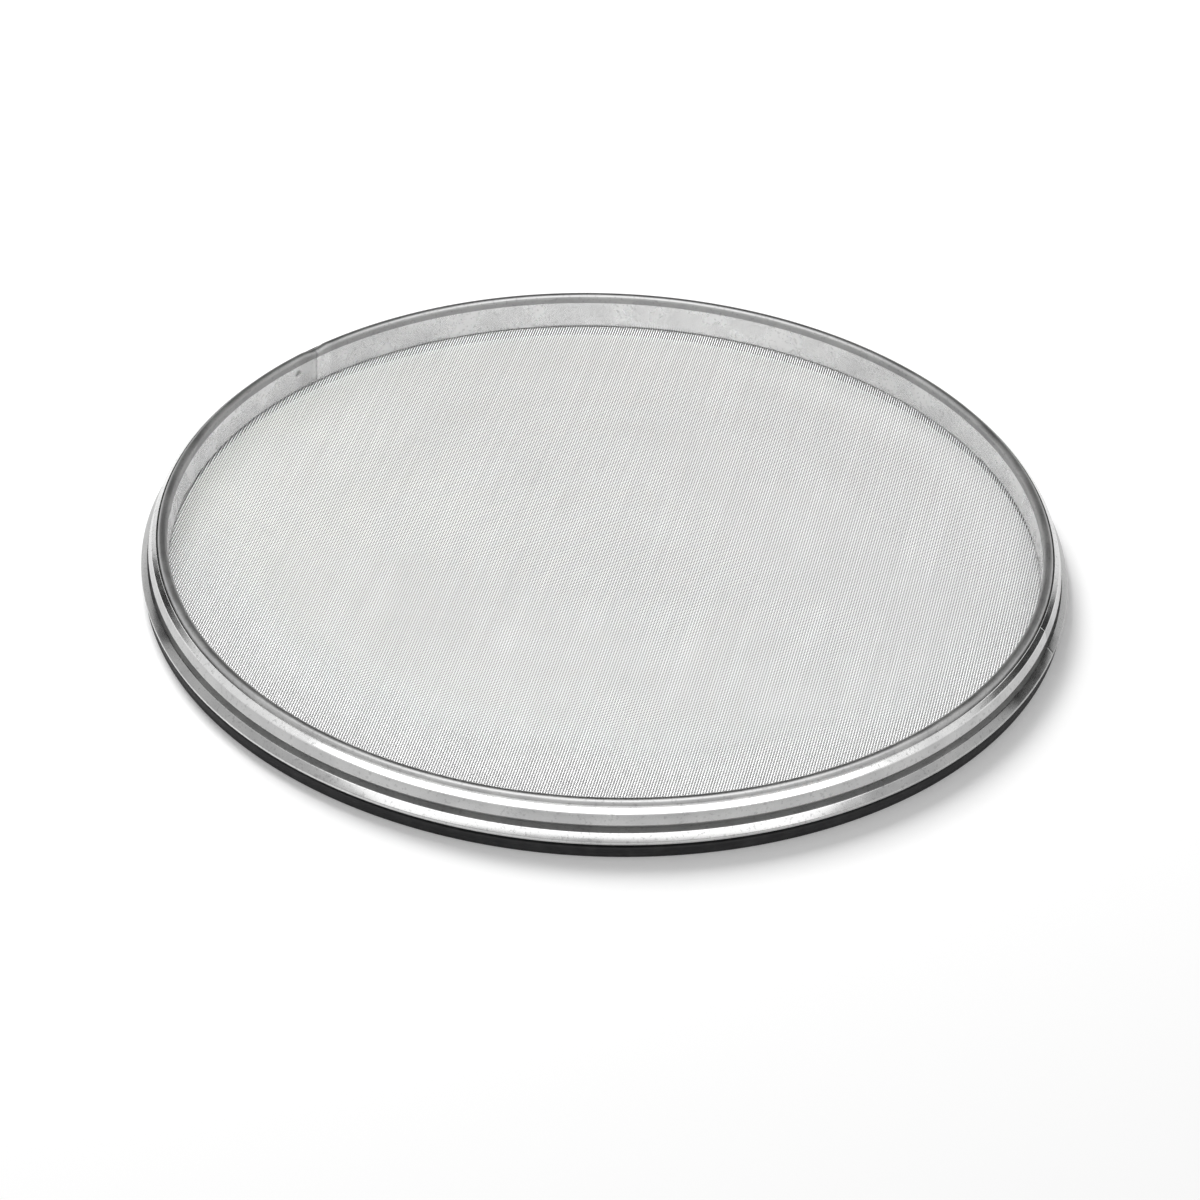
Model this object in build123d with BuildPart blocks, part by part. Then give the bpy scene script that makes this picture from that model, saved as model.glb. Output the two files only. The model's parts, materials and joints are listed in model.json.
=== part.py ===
"""Test sieve: a shallow round frame of two welded steel rings that clamp a disc of
woven wire cloth, standing on a rubber gasket.

Millimetres, +Z up. The origin is the centre of the circle that the gasket stands on.
"""

import os
from math import cos, hypot, radians, sin

from build123d import *

os.makedirs("parts", exist_ok=True)

# Driving sizes
clear_radius = 200.0        # inside of the frame wall, a 400 mm sieve
sheet = 0.8                 # steel sheet of both rings
wall_height = 15.8          # top of the cloth to the middle of the rolled rim

# Inner ring: foot, wall and rolled rim
foot_width = 6.0            # from the clear radius to the edge of the foot
roll_radius = 2.15          # outside of the rolled rim
roll_turn = 270             # degrees of curl
roll_step = 45              # degrees between its creases

# Outer ring: shoulder, bead, groove, neck and flared skirt
shoulder_width = 2.3        # from the outside of the roll
shoulder_drop = 2.4
bead_swell = 1.4            # how far the bead leans out below the shoulder
groove_depth = 2.9          # inward from the bead, to the bottom of the V
groove_rise = 3.7           # from the bottom of the V up to the bead
neck_width = 3.6            # from the bottom of the V out to the head of the skirt
neck_drop = 0.6
skirt_width = 2.75          # from its head out to its edge
skirt_drop = 3.0
return_rise = 2.8           # the skirt is turned back under itself, down to the ledge
return_clearance = 1.7      # from the edge of the cloth out to the foot of the return
ledge_set = 1.3             # edge of the ledge, outside the clear radius

# Wire cloth
wire = 0.45
edge_clearance = 0.5        # edge of the cloth, beyond the edge of the foot
edge_border = 2.0           # no gap comes nearer than this to the wall
strips_across = 12          # each strip stands for a band of wires
open_share = 0.49           # side of a gap, of the strips' pitch
crown_border = 10.0         # the meshes round a crown keep this far from the wall
crown_length_share = 0.84   # of the strips' pitch
crown_width_share = 0.56    # of a strip's width
crown_lean = 40             # degrees

# Gasket
gasket_height = 5.1         # floor to the underside of the ledge
gasket_inset = 2.4          # its inner edge, outside the clear radius
gasket_outset = 2.8         # its outer edge, outside the foot of the return

# Levels, from the floor up
ledge_level = gasket_height + sheet / 2
plate_bottom = gasket_height + sheet
plate_top = plate_bottom + wire
foot_level = plate_top + sheet / 2
crown_height = wire / 2
cloth_top = plate_top + crown_height
roll_level = cloth_top + wall_height

# Radii that the pieces share
foot_edge = clear_radius + foot_width
cloth_edge = foot_edge + edge_clearance
return_foot = cloth_edge + return_clearance

# Inner ring: one strip, butt welded into a hoop, its top edge curled outward
wall_middle = clear_radius + sheet / 2
roll_middle = clear_radius + roll_radius
curl_radius = roll_radius - sheet / 2 / cos(radians(roll_step / 2))

with BuildPart() as inner_ring:
    with BuildSketch(Plane.XZ):
        with BuildLine():
            Polyline(
                (foot_edge, foot_level),
                (wall_middle, foot_level),
                (wall_middle, roll_level),
                *[
                    (
                        roll_middle - curl_radius * cos(radians(turn)),
                        roll_level + curl_radius * sin(radians(turn)),
                    )
                    for turn in range(roll_step, roll_turn + 1, roll_step)
                ],
            )
        trace(line_width=sheet)
    revolve(axis=Axis.Z)
inner_ring.part.label = "inner_ring"

# Outer ring: one rolled strip, from its lip beside the rim down to the ledge under the cloth
lip_radius = clear_radius + 2 * roll_radius + sheet / 2
shoulder_radius = lip_radius + shoulder_width
bead_radius = shoulder_radius + bead_swell
groove_radius = bead_radius - groove_depth
neck_radius = groove_radius + neck_width
skirt_radius = neck_radius + skirt_width

skirt_level = ledge_level + return_rise
neck_level = skirt_level + skirt_drop
groove_level = neck_level + neck_drop
bead_level = groove_level + groove_rise
shoulder_level = roll_level - shoulder_drop

with BuildPart() as outer_ring:
    with BuildSketch(Plane.XZ):
        with BuildLine():
            Polyline(
                (lip_radius, roll_level),
                (shoulder_radius, shoulder_level),
                (bead_radius, bead_level),
                (groove_radius, groove_level),
                (neck_radius, neck_level),
                (skirt_radius, skirt_level),
                (return_foot, ledge_level),
                (clear_radius + ledge_set, ledge_level),
            )
        trace(line_width=sheet)
    revolve(axis=Axis.Z)
outer_ring.part.label = "outer_ring"

# Wire cloth: one wall, gripped by the two rings, with a gap in every mesh of its strips,
# cut off along the border where it would cross it, and crowns where a strip passes over
# its neighbour, along X and Y by turns as in a plain weave.
pitch = 2 * clear_radius / strips_across
gap = open_share * pitch
strip_width = pitch - gap
weave_radius = clear_radius - edge_border
crown_reach = clear_radius - crown_border
crown_length = crown_length_share * pitch
crown_width = crown_width_share * strip_width

half_count = strips_across / 2
gap_centres = [
    ((column + 0.5 - half_count) * pitch, (row + 0.5 - half_count) * pitch)
    for column in range(strips_across)
    for row in range(strips_across)
]
inner_gaps = [(x, y) for x, y in gap_centres if hypot(x, y) < weave_radius]
crossings = [
    (column, row, (column - half_count) * pitch, (row - half_count) * pitch)
    for column in range(1, strips_across)
    for row in range(1, strips_across)
]
inner_crossings = [
    place for place in crossings
    if hypot(abs(place[2]) + pitch, abs(place[3]) + pitch) < crown_reach
]
even_crossings = [(x, y) for column, row, x, y in inner_crossings if (column + row) % 2 == 0]
odd_crossings = [(x, y) for column, row, x, y in inner_crossings if (column + row) % 2 == 1]

with BuildPart() as wire_cloth:
    with BuildSketch(Plane.XY.offset(plate_bottom)):
        Circle(cloth_edge)
    extrude(amount=wire)
    with BuildSketch(Plane.XY.offset(plate_bottom)):
        with Locations(inner_gaps):
            Rectangle(gap, gap)
        Circle(weave_radius, mode=Mode.INTERSECT)
    extrude(amount=wire, mode=Mode.SUBTRACT)
    with BuildSketch(Plane.XY.offset(plate_top)):
        with Locations(even_crossings):
            Rectangle(crown_length, crown_width)
        with Locations(odd_crossings):
            Rectangle(crown_width, crown_length)
    extrude(amount=crown_height, taper=crown_lean)
    with BuildSketch(Plane.XY.offset(plate_bottom)):
        with Locations(even_crossings):
            Rectangle(crown_width, crown_length)
        with Locations(odd_crossings):
            Rectangle(crown_length, crown_width)
    extrude(amount=-crown_height, taper=crown_lean)
wire_cloth.part.label = "wire_cloth"

# Gasket: a rubber ring under the ledge
inner_edge = clear_radius + gasket_inset
outer_edge = return_foot + gasket_outset

with BuildPart() as gasket:
    with BuildSketch(Plane.XY):
        Circle(outer_edge)
        Circle(inner_edge, mode=Mode.SUBTRACT)
    extrude(amount=gasket_height)
gasket.part.label = "gasket"

# Written pieces
export_step(inner_ring.part, "parts/inner_ring.step")
export_step(outer_ring.part, "parts/outer_ring.step")
export_step(wire_cloth.part, "parts/wire_cloth.step")
export_step(gasket.part, "parts/gasket.step")
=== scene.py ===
import json
import math

import bpy
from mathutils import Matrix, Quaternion, Vector

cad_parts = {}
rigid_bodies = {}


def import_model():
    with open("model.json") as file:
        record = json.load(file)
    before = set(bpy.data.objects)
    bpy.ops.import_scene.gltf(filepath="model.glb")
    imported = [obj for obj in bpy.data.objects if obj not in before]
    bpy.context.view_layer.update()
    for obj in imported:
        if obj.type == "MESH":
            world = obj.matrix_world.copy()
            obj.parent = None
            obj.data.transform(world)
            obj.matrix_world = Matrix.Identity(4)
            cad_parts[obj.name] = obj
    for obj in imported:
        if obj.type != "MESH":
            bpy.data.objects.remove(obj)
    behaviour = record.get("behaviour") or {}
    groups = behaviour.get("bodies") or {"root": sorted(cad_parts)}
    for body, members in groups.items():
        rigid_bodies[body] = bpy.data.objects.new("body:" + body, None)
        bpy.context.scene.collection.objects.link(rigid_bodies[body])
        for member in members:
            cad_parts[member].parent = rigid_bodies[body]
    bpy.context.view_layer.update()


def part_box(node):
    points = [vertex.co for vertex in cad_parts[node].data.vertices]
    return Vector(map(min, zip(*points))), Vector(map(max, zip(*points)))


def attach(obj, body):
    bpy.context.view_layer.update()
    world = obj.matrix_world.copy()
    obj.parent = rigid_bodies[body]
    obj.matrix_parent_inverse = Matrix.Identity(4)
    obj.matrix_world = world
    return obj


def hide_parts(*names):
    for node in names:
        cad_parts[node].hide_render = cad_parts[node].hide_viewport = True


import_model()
bpy.ops.object.select_all(action="DESELECT")


# Gasket: one ring moulded in black rubber with rounded edges and a fine parting line.
# It is cemented under the ledge of the outer ring, and the whole sieve stands on it.
hoop_steps = 288
gasket_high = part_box("gasket")[1]
gasket_outer = gasket_high.x
gasket_height = gasket_high.z
gasket_width = 0.0086
gasket_edge = 0.0007
gasket_edge_steps = 4
gasket_crease = 35
parting_share = 0.42
parting_width = 0.0003
parting_stand = 0.00012
rubber_black = (0.010, 0.010, 0.011)
rubber_bloom = (0.032, 0.032, 0.033)


def arc(middle, radius, start, turn, steps):
    """Points of a round bend in a section, from its first point to its last."""
    angles = [math.radians(start + turn * step / steps) for step in range(steps + 1)]
    return [
        (middle[0] + radius * math.cos(angle), middle[1] + radius * math.sin(angle))
        for angle in angles
    ]


def hoop(name, section):
    """A hoop made from a circle, extruded and widened from point to point of a section."""
    bpy.ops.object.select_all(action="DESELECT")
    bpy.ops.mesh.primitive_circle_add(vertices=hoop_steps, radius=section[0][0])
    piece = bpy.context.object
    piece.name = name
    bpy.ops.object.mode_set(mode="EDIT")
    bpy.ops.mesh.select_all(action="SELECT")
    bpy.ops.transform.translate(value=(0, 0, section[0][1]))
    for (radius, level), (next_radius, next_level) in zip(section, section[1:]):
        bpy.ops.mesh.extrude_edges_move(
            TRANSFORM_OT_translate={"value": (0, 0, next_level - level)}
        )
        widen = next_radius / radius
        bpy.ops.transform.resize(value=(widen, widen, 1), center_override=(0, 0, 0))
    bpy.ops.mesh.select_all(action="SELECT")
    bpy.ops.mesh.remove_doubles(threshold=0.000001)
    bpy.ops.mesh.normals_make_consistent(inside=False)
    bpy.ops.object.mode_set(mode="OBJECT")
    return piece


def smooth(piece, crease):
    """Shades a piece smooth, apart from edges sharper than the crease in degrees."""
    bpy.ops.object.select_all(action="DESELECT")
    piece.select_set(True)
    bpy.context.view_layer.objects.active = piece
    bpy.ops.object.shade_smooth_by_angle(angle=math.radians(crease))


def place(piece, node, material):
    """Fixes a finished piece to the sieve, in the stead of its CAD node."""
    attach(piece, "root")
    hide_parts(node)
    piece.data.materials.append(material)


def mottled(nodes, links, at, scale, detail):
    """A value that varies from place to place like cloud."""
    noise = nodes.new("ShaderNodeTexNoise")
    noise.inputs["Scale"].default_value = scale
    noise.inputs["Detail"].default_value = detail
    links.new(at, noise.inputs["Vector"])
    return noise.outputs["Fac"]


def ranged(nodes, links, value, low, high, at_low, at_high, course="LINEAR"):
    """A value that goes from at_low to at_high while another goes from low to high."""
    spread = nodes.new("ShaderNodeMapRange")
    spread.interpolation_type = course
    spread.inputs["From Min"].default_value = low
    spread.inputs["From Max"].default_value = high
    spread.inputs["To Min"].default_value = at_low
    spread.inputs["To Max"].default_value = at_high
    links.new(value, spread.inputs["Value"])
    return spread.outputs["Result"]


def toned(nodes, links, value, low, high, at_low, at_high):
    """A colour that goes from at_low to at_high while a value goes from low to high."""
    ramp = nodes.new("ShaderNodeValToRGB")
    ramp.color_ramp.elements[0].position = low
    ramp.color_ramp.elements[0].color = (*at_low, 1)
    ramp.color_ramp.elements[1].position = high
    ramp.color_ramp.elements[1].color = (*at_high, 1)
    links.new(value, ramp.inputs["Fac"])
    return ramp.outputs["Color"]


def raised(nodes, links, height, distance, strength, ground=None):
    """Normals of a surface with a height on it, laid over other normals where given."""
    bump = nodes.new("ShaderNodeBump")
    bump.inputs["Strength"].default_value = strength
    bump.inputs["Distance"].default_value = distance
    links.new(height, bump.inputs["Height"])
    if ground is not None:
        links.new(ground, bump.inputs["Normal"])
    return bump.outputs["Normal"]


gasket_inner = gasket_outer - gasket_width
parting_level = parting_share * gasket_height
inner_corner = gasket_inner + gasket_edge
outer_corner = gasket_outer - gasket_edge
top_corner = gasket_height - gasket_edge
gasket_section = (
    arc((inner_corner, gasket_edge), gasket_edge, 180, 90, gasket_edge_steps)
    + arc((outer_corner, gasket_edge), gasket_edge, 270, 90, gasket_edge_steps)
    + [
        (gasket_outer, parting_level - parting_width),
        (gasket_outer - parting_stand, parting_level),
        (gasket_outer, parting_level + parting_width),
    ]
    + arc((outer_corner, top_corner), gasket_edge, 0, 90, gasket_edge_steps)
    + arc((inner_corner, top_corner), gasket_edge, 90, 90, gasket_edge_steps)
    + [(gasket_inner, gasket_edge)]
)
gasket = hoop("rubber_gasket", gasket_section)
smooth(gasket, gasket_crease)

rubber = bpy.data.materials.new("black_moulded_rubber")
rubber.use_nodes = True
nodes, links = rubber.node_tree.nodes, rubber.node_tree.links
shader = nodes["Principled BSDF"]
shader.inputs["Specular IOR Level"].default_value = 0.35
at = nodes.new("ShaderNodeTexCoord").outputs["Object"]
bloom = mottled(nodes, links, at, scale=160, detail=5)
black = toned(nodes, links, bloom, 0.42, 0.78, rubber_black, rubber_bloom)
links.new(black, shader.inputs["Base Color"])
gloss = ranged(nodes, links, bloom, 0, 1, at_low=0.48, at_high=0.72)
links.new(gloss, shader.inputs["Roughness"])
grain = mottled(nodes, links, at, scale=2600, detail=3)
grained = raised(nodes, links, grain, distance=0.00006, strength=0.5)
links.new(grained, shader.inputs["Normal"])
place(gasket, "gasket", rubber)


# Outer ring: one strip of stainless sheet, butt welded into a hoop and roll formed to a
# lip, a shoulder, a bead, a V groove, a neck and a flared skirt. The skirt is hemmed and
# turned back under itself to a flat ledge, which carries the cloth and the inner ring.
sheet = 0.0008
sheet_crease = 40
bend_radius = 0.00055
bend_steps = 4
clear_radius = 0.2
roll_radius = 0.00215
lip_height = 0.0008
shoulder_width = 0.0023
shoulder_drop = 0.0024
bead_swell = 0.0014
groove_depth = 0.0029
groove_rise = 0.0037
neck_width = 0.0036
neck_drop = 0.0006
neck_height = 0.0058
skirt_clearance = 0.0002
hem_rise = 0.0022
hem_height = 0.0009
hem_lean = sheet / 8
return_set = 0.0082
ledge_set = 0.0013
outer_seam = math.radians(-7)

ring_low, ring_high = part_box("outer_ring")
rim_low, rim_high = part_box("inner_ring")
roll_level = rim_high.z - roll_radius
lip_radius = clear_radius + 2 * roll_radius + sheet / 2
shoulder_radius = lip_radius + shoulder_width
shoulder_level = roll_level - shoulder_drop
bead_radius = shoulder_radius + bead_swell
groove_radius = bead_radius - groove_depth
neck_radius = groove_radius + neck_width
skirt_radius = ring_high.x - sheet / 2 - skirt_clearance
ledge_level = ring_low.z + sheet / 2
ledge_end = clear_radius + ledge_set
return_foot = clear_radius + return_set
hem_level = ledge_level + hem_rise
skirt_level = hem_level + hem_height
neck_level = ledge_level + neck_height
groove_level = neck_level + neck_drop
bead_level = groove_level + groove_rise
line_scale = 4200
line_stretch = 9
steel_darkest = (0.66, 0.66, 0.66)
steel_palest = (0.76, 0.76, 0.755)


def bent(points):
    """The corners of a strip's section, each rounded to the bend radius."""
    section = [points[0]]
    for before, corner, after in zip(points, points[1:], points[2:]):
        corner = Vector(corner)
        back = (Vector(before) - corner).normalized()
        onward = (Vector(after) - corner).normalized()
        reach = bend_radius / math.tan(back.angle(onward) / 2)
        for step in range(bend_steps + 1):
            share = step / bend_steps
            start = (corner + back * reach).lerp(corner, share)
            end = corner.lerp(corner + onward * reach, share)
            section.append(tuple(start.lerp(end, share)))
    section.append(points[-1])
    return section


def thicken(piece):
    """Gives a strip its sheet thickness, half to each side of its middle."""
    wall = piece.modifiers.new("sheet", "SOLIDIFY")
    wall.thickness = sheet
    wall.offset = 0
    wall.use_even_offset = True
    bpy.context.view_layer.objects.active = piece
    bpy.ops.object.modifier_apply(modifier=wall.name)


def reckoned(nodes, links, operation, value, by):
    """A value, changed by an operation with a number or with another value."""
    reckoning = nodes.new("ShaderNodeMath")
    reckoning.operation = operation
    links.new(value, reckoning.inputs[0])
    if isinstance(by, (int, float)):
        reckoning.inputs[1].default_value = by
    else:
        links.new(by, reckoning.inputs[1])
    return reckoning.outputs[0]


def sheet_marks():
    """Fine lines round a hoop, dull blotches, specks, and the weld at a given turn."""
    group = bpy.data.node_groups.new("rolled_sheet_marks", "ShaderNodeTree")
    sockets = group.interface
    sockets.new_socket("Place", in_out="INPUT", socket_type="NodeSocketVector")
    sockets.new_socket("Seam Turn", in_out="INPUT", socket_type="NodeSocketFloat")
    for output in ("Lines", "Blotches", "Specks", "Seam", "Beside", "Level"):
        sockets.new_socket(output, in_out="OUTPUT", socket_type="NodeSocketFloat")
    nodes, links = group.nodes, group.links
    given = nodes.new("NodeGroupInput")
    result = nodes.new("NodeGroupOutput")

    at = given.outputs["Place"]
    split = nodes.new("ShaderNodeSeparateXYZ")
    links.new(at, split.inputs[0])
    height = split.outputs["Z"]
    links.new(height, result.inputs["Level"])
    level = nodes.new("ShaderNodeCombineXYZ")
    links.new(split.outputs["X"], level.inputs["X"])
    links.new(split.outputs["Y"], level.inputs["Y"])
    radius = nodes.new("ShaderNodeVectorMath")
    radius.operation = "LENGTH"
    links.new(level.outputs[0], radius.inputs[0])
    direction = nodes.new("ShaderNodeVectorMath")
    direction.operation = "NORMALIZE"
    links.new(level.outputs[0], direction.inputs[0])
    round_way = nodes.new("ShaderNodeVectorMath")
    round_way.operation = "SCALE"
    round_way.inputs["Scale"].default_value = line_stretch
    links.new(direction.outputs[0], round_way.inputs[0])
    fine_radius = reckoned(nodes, links, "MULTIPLY", radius.outputs["Value"], line_scale)
    fine_level = reckoned(nodes, links, "MULTIPLY", height, line_scale)
    upright = nodes.new("ShaderNodeCombineXYZ")
    links.new(fine_radius, upright.inputs["Z"])
    along = nodes.new("ShaderNodeVectorMath")
    links.new(round_way.outputs[0], along.inputs[0])
    links.new(upright.outputs[0], along.inputs[1])
    lines = nodes.new("ShaderNodeTexNoise")
    lines.noise_dimensions = "4D"
    lines.inputs["Scale"].default_value = 1
    lines.inputs["Detail"].default_value = 3
    links.new(along.outputs[0], lines.inputs["Vector"])
    links.new(fine_level, lines.inputs["W"])
    links.new(lines.outputs["Fac"], result.inputs["Lines"])

    blotches = mottled(nodes, links, at, scale=70, detail=4)
    links.new(blotches, result.inputs["Blotches"])
    spots = mottled(nodes, links, at, scale=700, detail=2)
    specks = ranged(nodes, links, spots, 0.56, 0.70, 0, 1, "SMOOTHSTEP")
    links.new(specks, result.inputs["Specks"])

    turned = nodes.new("ShaderNodeVectorRotate")
    turned.rotation_type = "Z_AXIS"
    links.new(at, turned.inputs["Vector"])
    back = reckoned(nodes, links, "MULTIPLY", given.outputs["Seam Turn"], -1)
    links.new(back, turned.inputs["Angle"])
    sides = nodes.new("ShaderNodeSeparateXYZ")
    links.new(turned.outputs[0], sides.inputs[0])
    sideways = sides.outputs["Y"]
    aside = reckoned(nodes, links, "ABSOLUTE", sideways, 0)
    narrow = ranged(nodes, links, aside, 0.0002, 0.0009, 1, 0, "SMOOTHSTEP")
    this_side = reckoned(nodes, links, "GREATER_THAN", sides.outputs["X"], 0)
    seam = reckoned(nodes, links, "MULTIPLY", narrow, this_side)
    links.new(seam, result.inputs["Seam"])
    beside = nodes.new("ShaderNodeMix")
    beside.inputs["A"].default_value = 1
    links.new(this_side, beside.inputs["Factor"])
    links.new(sideways, beside.inputs["B"])
    links.new(beside.outputs["Result"], result.inputs["Beside"])
    return group


marks = sheet_marks()


def band(nodes, links, value, low, high, fade):
    """A mask that is 1 where a value lies between two bounds, with soft ends."""
    above = ranged(nodes, links, value, low - fade, low + fade, 0, 1, "SMOOTHSTEP")
    below = ranged(nodes, links, value, high - fade, high + fade, 1, 0, "SMOOTHSTEP")
    return reckoned(nodes, links, "MULTIPLY", above, below)


def tinted(nodes, links, colour, mask, tint):
    """The colour, multiplied by a tint where the mask is 1."""
    mix = nodes.new("ShaderNodeMix")
    mix.data_type = "RGBA"
    mix.blend_type = "MULTIPLY"
    mix.inputs["B"].default_value = (tint, tint, tint, 1)
    links.new(mask, mix.inputs["Factor"])
    links.new(colour, mix.inputs["A"])
    return mix.outputs["Result"]


def satin_steel(name, seam_turn, dullness, shaded_from, shaded_to, shaded_tint, shaded_dull):
    """Satin stainless sheet, with its weld at a turn and one band round it darkened with
    painted shade.
    """
    material = bpy.data.materials.new(name)
    material.use_nodes = True
    nodes, links = material.node_tree.nodes, material.node_tree.links
    shader = nodes["Principled BSDF"]
    shader.inputs["Metallic"].default_value = 1
    shader.inputs["Anisotropic"].default_value = 0.4
    round_way = nodes.new("ShaderNodeTangent")
    round_way.axis = "Z"
    links.new(round_way.outputs[0], shader.inputs["Tangent"])
    at = nodes.new("ShaderNodeTexCoord").outputs["Object"]
    mark = nodes.new("ShaderNodeGroup")
    mark.node_tree = marks
    mark.inputs["Seam Turn"].default_value = seam_turn
    links.new(at, mark.inputs["Place"])
    blotches, beside = mark.outputs["Blotches"], mark.outputs["Beside"]

    colour = toned(nodes, links, blotches, 0.35, 0.65, steel_darkest, steel_palest)
    # Painted shade: the band between the two given levels is darkened, and it is made rougher
    # too.
    shaded_band = band(nodes, links, mark.outputs["Level"], shaded_from, shaded_to, fade=0.0002)
    scorched = band(nodes, links, beside, low=0.0005, high=0.011, fade=0.003)
    ground = band(nodes, links, beside, low=-0.009, high=0.0003, fade=0.0012)
    colour = tinted(nodes, links, colour, mark.outputs["Specks"], tint=0.8)
    colour = tinted(nodes, links, colour, scorched, tint=0.82)
    colour = tinted(nodes, links, colour, ground, tint=1.12)
    colour = tinted(nodes, links, colour, mark.outputs["Seam"], tint=0.72)
    colour = tinted(nodes, links, colour, shaded_band, shaded_tint)
    links.new(colour, shader.inputs["Base Color"])

    dull = ranged(nodes, links, blotches, 0.3, 0.7, dullness - 0.05, dullness + 0.05)
    duller = nodes.new("ShaderNodeMath")
    duller.operation = "MULTIPLY_ADD"
    duller.inputs[1].default_value = shaded_dull
    links.new(shaded_band, duller.inputs[0])
    links.new(dull, duller.inputs[2])
    links.new(duller.outputs[0], shader.inputs["Roughness"])

    lined = raised(nodes, links, mark.outputs["Lines"], distance=0.000006, strength=0.4)
    sunk = raised(nodes, links, mark.outputs["Seam"], -0.0001, 0.6, ground=lined)
    links.new(sunk, shader.inputs["Normal"])
    return material


outer_section = bent(
    [
        (lip_radius, roll_level),
        (lip_radius, roll_level - lip_height),
        (shoulder_radius, shoulder_level),
        (bead_radius, bead_level),
        (groove_radius, groove_level),
        (neck_radius, neck_level),
        (skirt_radius, skirt_level),
        (skirt_radius - hem_lean, hem_level),
        (return_foot, ledge_level),
        (ledge_end, ledge_level),
    ]
)
outer_ring = hoop("outer_ring_strip", outer_section)
thicken(outer_ring)
smooth(outer_ring, sheet_crease)
groove_foot = neck_level + sheet / 2
groove_head = bead_level - sheet / 2
# The band from the neck up to the bead gets painted shade, standing in for the shade in the V
# groove.
outer_steel_painted_shade = satin_steel(
    "satin_steel_outer",
    outer_seam,
    dullness=0.17,
    shaded_from=groove_foot,
    shaded_to=groove_head,
    shaded_tint=0.5,
    shaded_dull=0.2,
)
nodes, links = outer_steel_painted_shade.node_tree.nodes, outer_steel_painted_shade.node_tree.links
split = nodes.new("ShaderNodeSeparateXYZ")
links.new(nodes.new("ShaderNodeTexCoord").outputs["Object"], split.inputs[0])
height = split.outputs["Z"]
# Painted shade: the skirt and the bead wall are darkened, standing in for dimmer reflections
# on them.
skirt_face = band(nodes, links, height, skirt_level, groove_foot, fade=0.0004)
bead_face = band(nodes, links, height, bead_level, shoulder_level, fade=0.0003)
shader = nodes["Principled BSDF"]
painted = shader.inputs["Base Color"].links[0].from_socket
skirt_painted_shade = tinted(nodes, links, painted, skirt_face, tint=0.5)
bead_painted_shade = tinted(nodes, links, skirt_painted_shade, bead_face, tint=0.66)
links.new(bead_painted_shade, shader.inputs["Base Color"])
place(outer_ring, "outer_ring", outer_steel_painted_shade)


# Wire cloth: a disc of plain weave in bright drawn stainless wire. Its edge is pressed
# flat between the ledge and the foot of the inner ring, with no fastenings of its own.
wire_pitch = 0.00116
wires_each_way = 346
warp_width = 0.00045
weft_width = 0.00042
weft_sides = 6
weft_crease = 65
grip_radius = clear_radius - 0.0002
grip_share = 0.46
cut_radius = clear_radius + 0.0022
sheets_of_warp = 4
# Tone of the painted highlight on the weft where the warp crosses it.
crossing_highlight_tone = 0.8
cloth_low, cloth_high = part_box("wire_cloth")
cloth_level = (cloth_low.z + cloth_high.z) / 2
# The warp is a bar of three sides with a flat on top. Its axis lies a quarter of its
# radius above the middle of the cloth, so that it reaches equally far up and down.
warp_radius = warp_width / math.sqrt(3)
warp_middle = cloth_level + warp_radius / 4
crimp = (cloth_high.z - cloth_low.z) / 2 - 0.75 * warp_radius


def array(piece, count, step, welded):
    """Repeats a mesh in a row, with its copies welded end to end where that is asked."""
    row = piece.modifiers.new("row", "ARRAY")
    row.count = count
    row.use_relative_offset = False
    row.use_constant_offset = True
    row.constant_offset_displace = step
    row.use_merge_vertices = welded
    row.merge_threshold = wire_pitch / 100
    bpy.context.view_layer.objects.active = piece
    bpy.ops.object.modifier_apply(modifier=row.name)


def select_points(piece, wanted):
    """In edit mode, selects the points whose places a test wants, and no others."""
    bpy.ops.mesh.select_mode(type="VERT")
    bpy.ops.mesh.select_all(action="DESELECT")
    bpy.ops.object.mode_set(mode="OBJECT")
    for vertex in piece.data.vertices:
        vertex.select = wanted(vertex.co)
    bpy.ops.object.mode_set(mode="EDIT")


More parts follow.
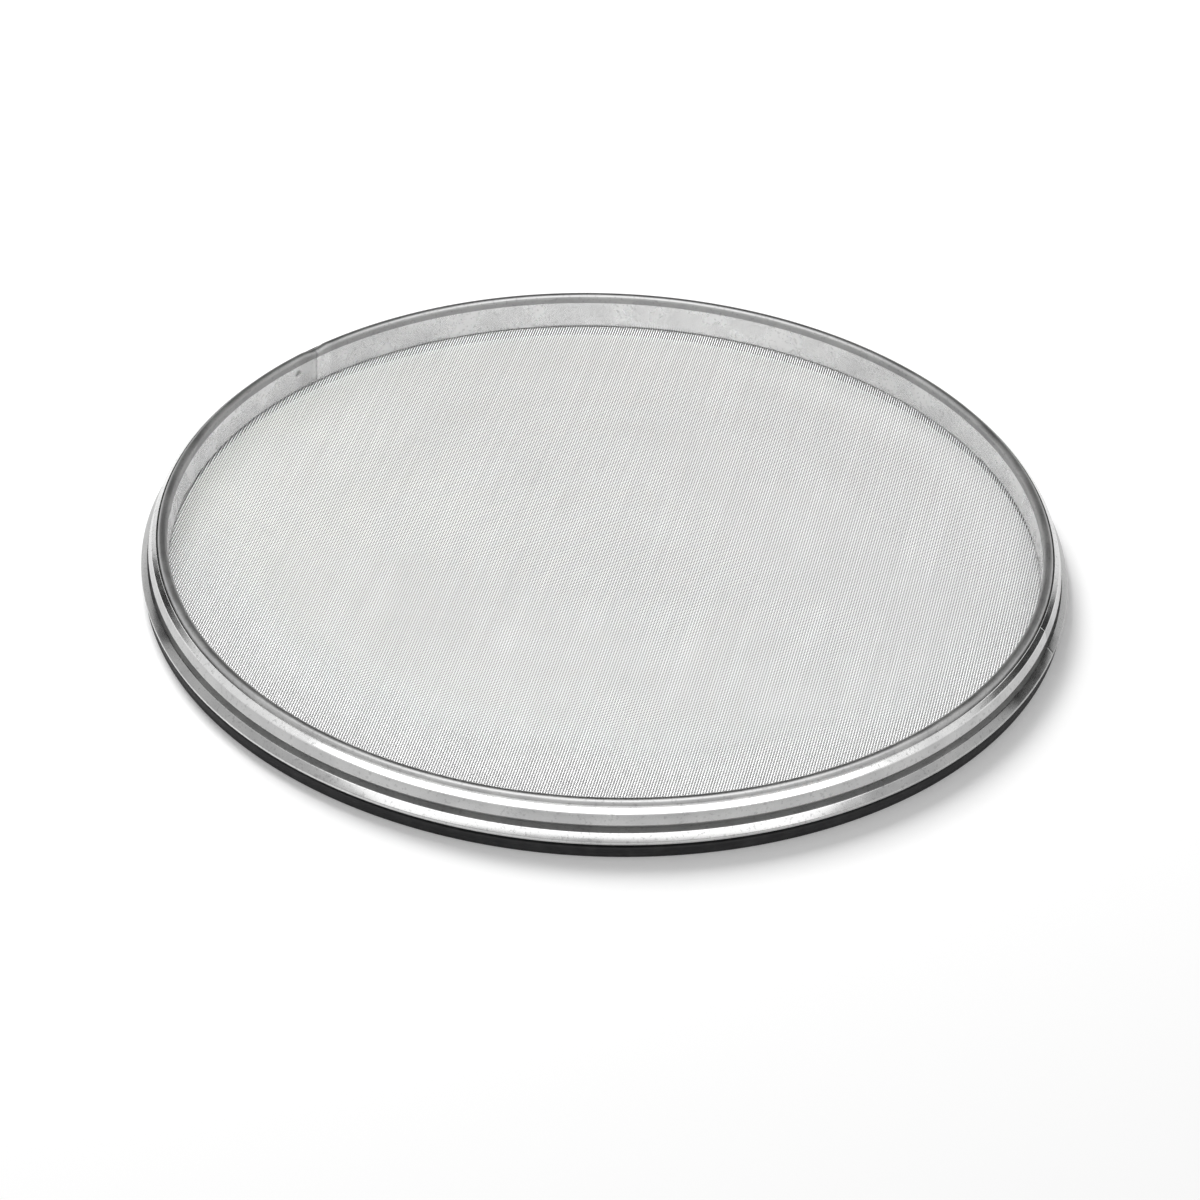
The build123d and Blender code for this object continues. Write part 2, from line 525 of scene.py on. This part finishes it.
def warp_sheet(name, first, count):
    """Neighbouring warp wires, bent over and under the weft by turns."""
    bpy.ops.object.select_all(action="DESELECT")
    bpy.ops.mesh.primitive_cylinder_add(
        vertices=3,
        radius=warp_radius,
        depth=2 * wire_pitch,
        end_fill_type="NOTHING",
        rotation=(math.radians(-90), 0, 0),
    )
    warp = bpy.context.object
    warp.name = name
    bpy.ops.object.transform_apply(location=True, rotation=True, scale=True)
    bpy.ops.object.mode_set(mode="EDIT")
    bpy.ops.mesh.select_all(action="SELECT")
    bpy.ops.mesh.bisect(plane_co=(0, 0, 0), plane_no=(0, 1, 0))
    for bend in (-wire_pitch, 0, wire_pitch):
        select_points(warp, lambda at: abs(at.y - bend) < wire_pitch / 4)
        bpy.ops.mesh.mark_sharp()
    select_points(warp, lambda at: abs(at.y) < wire_pitch / 2)
    bpy.ops.transform.translate(value=(0, 0, 2 * crimp))
    bpy.ops.mesh.select_all(action="SELECT")
    bpy.ops.transform.translate(value=(0, 0, warp_middle - crimp))
    bpy.ops.object.mode_set(mode="OBJECT")
    array(warp, wires_each_way // 2 + 1, (0, 2 * wire_pitch, 0), True)

    bpy.ops.object.mode_set(mode="EDIT")
    bpy.ops.mesh.select_all(action="SELECT")
    start_y = -(wires_each_way // 4) * 2 * wire_pitch
    bpy.ops.transform.translate(value=(first * wire_pitch, start_y, 0))
    bpy.ops.mesh.duplicate_move(
        TRANSFORM_OT_translate={"value": (wire_pitch, wire_pitch, 0)}
    )
    bpy.ops.object.mode_set(mode="OBJECT")
    array(warp, count // 2, (2 * wire_pitch, 0, 0), False)

    bpy.ops.object.mode_set(mode="EDIT")
    select_points(warp, lambda at: math.hypot(at.x, at.y) > cut_radius)
    bpy.ops.mesh.delete(type="VERT")
    bpy.ops.mesh.select_all(action="SELECT")
    bpy.ops.mesh.fill_holes(sides=3)
    select_points(warp, lambda at: math.hypot(at.x, at.y) > grip_radius)
    bpy.ops.transform.resize(value=(1, 1, grip_share), center_override=(0, 0, cloth_level))
    bpy.ops.mesh.select_all(action="SELECT")
    bpy.ops.mesh.normals_make_consistent(inside=False)
    bpy.ops.object.mode_set(mode="OBJECT")
    bpy.ops.object.shade_smooth()
    return warp


def weft_wires(name):
    """Straight weft wires, each cut to the chord of the disc that it crosses."""
    bpy.ops.object.select_all(action="DESELECT")
    half = wires_each_way // 2
    rows = [row for row in range(-half, half + 1) if abs(row + 1) * wire_pitch < cut_radius]
    for row in rows:
        y = row * wire_pitch
        bpy.ops.mesh.primitive_cylinder_add(
            vertices=weft_sides,
            radius=weft_width / 2,
            depth=2 * math.sqrt(cut_radius ** 2 - y ** 2),
            location=(0, y, cloth_level),
            rotation=(0, math.radians(90), 0),
        )
        if row == rows[0]:
            bpy.ops.object.transform_apply(location=True, rotation=True, scale=True)
            bpy.ops.object.mode_set(mode="EDIT")
    bpy.ops.object.mode_set(mode="OBJECT")
    weft = bpy.context.object
    weft.name = name
    smooth(weft, weft_crease)
    return weft


def drawn_wire(name, run, darkest, palest):
    """Drawn wire: each wire has its own tone, and the cloth lies a little uneven."""
    material = bpy.data.materials.new(name)
    material.use_nodes = True
    nodes, links = material.node_tree.nodes, material.node_tree.links
    shader = nodes["Principled BSDF"]
    shader.inputs["Metallic"].default_value = 1
    at = nodes.new("ShaderNodeTexCoord").outputs["Object"]
    stretch = nodes.new("ShaderNodeMapping")
    stretch.inputs["Scale"].default_value = run
    links.new(at, stretch.inputs["Vector"])
    tone = mottled(nodes, links, stretch.outputs[0], scale=1, detail=3)
    bright = toned(nodes, links, tone, 0.3, 0.7, (darkest,) * 3, (palest,) * 3)
    links.new(bright, shader.inputs["Base Color"])
    dull = ranged(nodes, links, tone, 0, 1, at_low=0.28, at_high=0.42)
    links.new(dull, shader.inputs["Roughness"])
    rings = nodes.new("ShaderNodeTexWave")
    rings.wave_type = "RINGS"
    rings.rings_direction = "Z"
    rings.inputs["Scale"].default_value = 11
    rings.inputs["Distortion"].default_value = 1.5
    links.new(at, rings.inputs["Vector"])
    pulled = raised(nodes, links, rings.outputs["Fac"], distance=0.00025, strength=1)
    swell = mottled(nodes, links, at, scale=9, detail=1)
    lie = raised(nodes, links, swell, distance=0.003, strength=1, ground=pulled)
    links.new(lie, shader.inputs["Normal"])
    return material


warp_wire = drawn_wire("drawn_wire_warp", (420, 9, 1), darkest=0.85, palest=0.99)
# Painted shade: the weft is given a near-black tone, standing in for the shade between the
# warp wires.
weft_wire = drawn_wire("drawn_wire_weft", (40, 40, 1), darkest=0.05, palest=0.09)
# The weft has a painted highlight at its crossings with the warp. At a scale of 1 a wave
# texture repeats every pi / 10, and it is palest half way between, which is where the warp
# lies.
nodes, links = weft_wire.node_tree.nodes, weft_wire.node_tree.links
crests = nodes.new("ShaderNodeTexWave")
crests.inputs["Scale"].default_value = math.pi / 10 / wire_pitch
links.new(nodes.new("ShaderNodeTexCoord").outputs["Object"], crests.inputs["Vector"])
crossing_highlight = nodes.new("ShaderNodeMix")
crossing_highlight.data_type = "RGBA"
crossing_highlight.inputs["B"].default_value = (crossing_highlight_tone, crossing_highlight_tone, crossing_highlight_tone, 1)
links.new(crests.outputs["Fac"], crossing_highlight.inputs["Factor"])
shader = nodes["Principled BSDF"]
links.new(shader.inputs["Base Color"].links[0].from_socket, crossing_highlight.inputs["A"])
links.new(crossing_highlight.outputs["Result"], shader.inputs["Base Color"])
wires_per_sheet = 2 * math.ceil(wires_each_way / 2 / sheets_of_warp)
for number in range(sheets_of_warp):
    first_wire = (number - sheets_of_warp / 2) * wires_per_sheet + 0.5
    warp = warp_sheet(f"warp_wires_{number + 1}", first_wire, wires_per_sheet)
    place(warp, "wire_cloth", warp_wire)
weft = weft_wires("weft_wires")
place(weft, "wire_cloth", weft_wire)


# Inner ring: one strip of the same sheet, butt welded into a hoop. Its top edge is
# curled outward into the rolled rim, and its foot is bent out flat on the cloth.
foot_edge = rim_high.x
foot_level = rim_low.z + sheet / 2
foot_bend = 0.0008
foot_bend_steps = 4
wall_middle = clear_radius + sheet / 2
wall_rings = 6
curl_turn = -285
curl_steps = 28
inner_seam = math.radians(147)
kink_reach = 0.0036
kink_push = 0.00045
kink_drop = 0.0012
dent_turn = inner_seam + math.radians(3.4)
dent_size = 0.0026
dent_height = 0.0085

wall_foot = foot_level + foot_bend
wall_rise = (roll_level - wall_foot) / wall_rings
roll_middle = (clear_radius + roll_radius, roll_level)
roll_foot = roll_level - roll_radius
kink_level = roll_level - kink_drop
inner_section = (
    [(foot_edge, foot_level)]
    + arc((wall_middle + foot_bend, wall_foot), foot_bend, 270, -90, foot_bend_steps)
    + [(wall_middle, wall_foot + ring * wall_rise) for ring in range(1, wall_rings)]
    + arc(roll_middle, roll_radius - sheet / 2, 180, curl_turn, curl_steps)
)
inner_ring = hoop("inner_ring_strip", inner_section)
thicken(inner_ring)
weld_side = Vector((math.cos(inner_seam), math.sin(inner_seam), 0))
weld_along = Vector((-math.sin(inner_seam), math.cos(inner_seam), 0))


def at_rim_weld(at):
    """Whether a point is on the rolled rim, close beside its weld."""
    near = at.dot(weld_side) > 0 and abs(at.dot(weld_along)) < kink_reach
    return near and at.z > kink_level


bpy.ops.object.mode_set(mode="EDIT")
select_points(inner_ring, at_rim_weld)
bpy.ops.transform.translate(value=-weld_side * kink_push - Vector((0, 0, kink_push)))
bpy.ops.object.mode_set(mode="OBJECT")
smooth(inner_ring, sheet_crease)
# The whole rolled rim gets painted shade, dimming the reflections on it.
inner_steel_painted_shade = satin_steel(
    "satin_steel_inner",
    inner_seam,
    dullness=0.26,
    shaded_from=roll_foot,
    shaded_to=rim_high.z + sheet,
    shaded_tint=0.56,
    shaded_dull=0.18,
)
nodes, links = inner_steel_painted_shade.node_tree.nodes, inner_steel_painted_shade.node_tree.links
at = nodes.new("ShaderNodeTexCoord").outputs["Object"]
away = nodes.new("ShaderNodeVectorMath")
away.operation = "DISTANCE"
away.inputs[1].default_value = (
    clear_radius * math.cos(dent_turn),
    clear_radius * math.sin(dent_turn),
    wall_foot + dent_height,
)
links.new(at, away.inputs[0])
dent = ranged(nodes, links, away.outputs["Value"], 0, dent_size, 1, 0, "SMOOTHSTEP")
split = nodes.new("ShaderNodeSeparateXYZ")
links.new(at, split.inputs[0])
# The wall below the rolled rim is made paler.
wall_face = band(nodes, links, split.outputs["Z"], 0, roll_foot, fade=0.0003)
shader = nodes["Principled BSDF"]
painted = shader.inputs["Base Color"].links[0].from_socket
paler_wall = tinted(nodes, links, painted, wall_face, tint=1.2)
# Painted shade: the dent is darkened in colour as well as sunk by its bump.
dent_painted_shade = tinted(nodes, links, paler_wall, dent, tint=0.45)
links.new(dent_painted_shade, shader.inputs["Base Color"])
marked = shader.inputs["Normal"].links[0].from_socket
beaten = raised(nodes, links, dent, distance=-0.0012, strength=0.8, ground=marked)
links.new(beaten, shader.inputs["Normal"])
place(inner_ring, "inner_ring", inner_steel_painted_shade)


# Camera: it looks down on the sieve from the height and the distance of the photograph,
# a little off the run of the warp, and leans very slightly to one side.
rim_middle = Vector((0, 0, rim_high.z))
view_turn = math.radians(11)
view_height = math.radians(34.5)
view_lean = math.radians(-2.2)
view_distance = 1.876
view_lens = 123
view_sensor = 36
aim_nearer = 0.060
aim_aside = -0.0015

towards = Vector((math.sin(view_turn), -math.cos(view_turn), 0))
aside = Vector((math.cos(view_turn), math.sin(view_turn), 0))
camera_data = bpy.data.cameras.new("camera")
camera_data.lens = view_lens
camera_data.sensor_width = view_sensor
camera = bpy.data.objects.new("camera", camera_data)
bpy.context.collection.objects.link(camera)
stand = towards * math.cos(view_height) + Vector((0, 0, math.sin(view_height)))
camera.location = rim_middle + stand * view_distance
aim = rim_middle + towards * aim_nearer + aside * aim_aside
sight = (aim - camera.location).normalized()
lean = Quaternion(sight, view_lean)
camera.rotation_mode = "QUATERNION"
camera.rotation_quaternion = lean @ sight.to_track_quat("-Z", "Y")
bpy.context.scene.camera = camera


# Floor: one wide sheet of pale paper, white where nothing shades it. The sieve's soft
# shadow stays on it.
paper_width = 12
paper_tone = 0.86
paper_lift = 0.17


def seen_as_background(nodes, links):
    """1 for the rays that see the background: from the camera, or by way of steel or glass."""
    rays = nodes.new("ShaderNodeLightPath")
    glossy = nodes.new("ShaderNodeMath")
    links.new(rays.outputs["Is Camera Ray"], glossy.inputs[0])
    links.new(rays.outputs["Is Glossy Ray"], glossy.inputs[1])
    seen = nodes.new("ShaderNodeMath")
    seen.use_clamp = True
    links.new(glossy.outputs[0], seen.inputs[0])
    links.new(rays.outputs["Is Transmission Ray"], seen.inputs[1])
    return seen.outputs[0]


bpy.ops.object.select_all(action="DESELECT")
bpy.ops.mesh.primitive_plane_add(size=paper_width)
floor = bpy.context.object
floor.name = "floor_paper"
paper = bpy.data.materials.new("pale_paper")
paper.use_nodes = True
nodes, links = paper.node_tree.nodes, paper.node_tree.links
nodes.clear()
lift = reckoned(nodes, links, "MULTIPLY", seen_as_background(nodes, links), paper_lift)
matt = nodes.new("ShaderNodeBsdfDiffuse")
matt.inputs["Color"].default_value = (paper_tone, paper_tone, paper_tone, 1)
glow = nodes.new("ShaderNodeEmission")
links.new(lift, glow.inputs["Strength"])
both = nodes.new("ShaderNodeAddShader")
links.new(matt.outputs[0], both.inputs[0])
links.new(glow.outputs[0], both.inputs[1])
out = nodes.new("ShaderNodeOutputMaterial")
links.new(both.outputs[0], out.inputs["Surface"])
floor.data.materials.append(paper)


# Studio light: a white room, a soft box over the front, an overhead lamp on the cloth, a
# key lamp behind to the left, which throws the shadow, and a dark screen behind the
# sieve, which draws the dark line along the top of the rolled rim.
room_level = 0.42
lamp_distance = 2.2


def area_lamp(name, size, power, turn, height, distance):
    """A flat square lamp that faces the sieve, turned to the left of the camera."""
    data = bpy.data.lights.new(name, "AREA")
    data.size = size
    data.energy = power
    lamp = bpy.data.objects.new(name, data)
    bpy.context.collection.objects.link(lamp)
    away = (towards * math.cos(turn) - aside * math.sin(turn)) * math.cos(height)
    away += Vector((0, 0, math.sin(height)))
    lamp.location = away * distance
    lamp.rotation_mode = "QUATERNION"
    lamp.rotation_quaternion = away.to_track_quat("Z", "Y")
    return lamp


def widen_lamp(lamp, depth):
    """Makes a square lamp into one with a depth of its own."""
    lamp.data.shape = "RECTANGLE"
    lamp.data.size_y = depth


room = bpy.data.worlds.new("studio")
bpy.context.scene.world = room
room.use_nodes = True
nodes, links = room.node_tree.nodes, room.node_tree.links
background = nodes["Background"]
background.inputs["Color"].default_value = (1, 1, 1, 1)
level = nodes.new("ShaderNodeMix")
level.inputs["A"].default_value = room_level
level.inputs["B"].default_value = 1
links.new(seen_as_background(nodes, links), level.inputs["Factor"])
links.new(level.outputs["Result"], background.inputs["Strength"])

box_width = 4.0
box_depth = 1.6
box_height = math.radians(66)
box_power = 42
soft_box = area_lamp("soft_box", box_width, box_power, 0, box_height, lamp_distance)
widen_lamp(soft_box, box_depth)
soft_box.visible_diffuse = False

cloth_lamp_width = 3.4
cloth_lamp_depth = 1.6
cloth_lamp_height = math.radians(96)
cloth_lamp_power = 51
cloth_lamp = area_lamp(
    "cloth_lamp", cloth_lamp_width, cloth_lamp_power, 0, cloth_lamp_height, lamp_distance
)
widen_lamp(cloth_lamp, cloth_lamp_depth)
cloth_lamp.visible_diffuse = False
lit_cloth = bpy.data.collections.new("lit_cloth")
for wires in bpy.data.objects:
    if wires.name.startswith(("warp_wires", "weft_wires")):
        lit_cloth.objects.link(wires)
cloth_lamp.light_linking.receiver_collection = lit_cloth

key_size = 1.0
key_distance = 2.4
key_turn = math.radians(150)
key_height = math.radians(50)
key_power = 54
key_lamp = area_lamp("key_lamp", key_size, key_power, key_turn, key_height, key_distance)
key_lamp.visible_camera = False
key_lamp.visible_glossy = False

screen_distance = 0.9
screen_width = 5
screen_foot = 0.26
screen_head = 3.4
screen_shift = 0.5
screen_tone = 0.05
bpy.ops.object.select_all(action="DESELECT")
bpy.ops.mesh.primitive_plane_add(size=1)
screen = bpy.context.object
screen.name = "dark_screen"
screen.scale = (screen_width, screen_head - screen_foot, 1)
screen.rotation_euler = (math.radians(90), 0, view_turn)
screen.location = -towards * screen_distance + aside * screen_shift
screen.location.z = (screen_head + screen_foot) / 2
screen.visible_camera = False
screen.visible_diffuse = False
screen.visible_shadow = False
felt = bpy.data.materials.new("dark_felt")
felt.use_nodes = True
nodes, links = felt.node_tree.nodes, felt.node_tree.links
nodes.clear()
dim = nodes.new("ShaderNodeEmission")
dim.inputs["Color"].default_value = (screen_tone, screen_tone, screen_tone, 1)
out = nodes.new("ShaderNodeOutputMaterial")
links.new(dim.outputs[0], out.inputs["Surface"])
screen.data.materials.append(felt)

bpy.context.scene.view_settings.view_transform = "Standard"
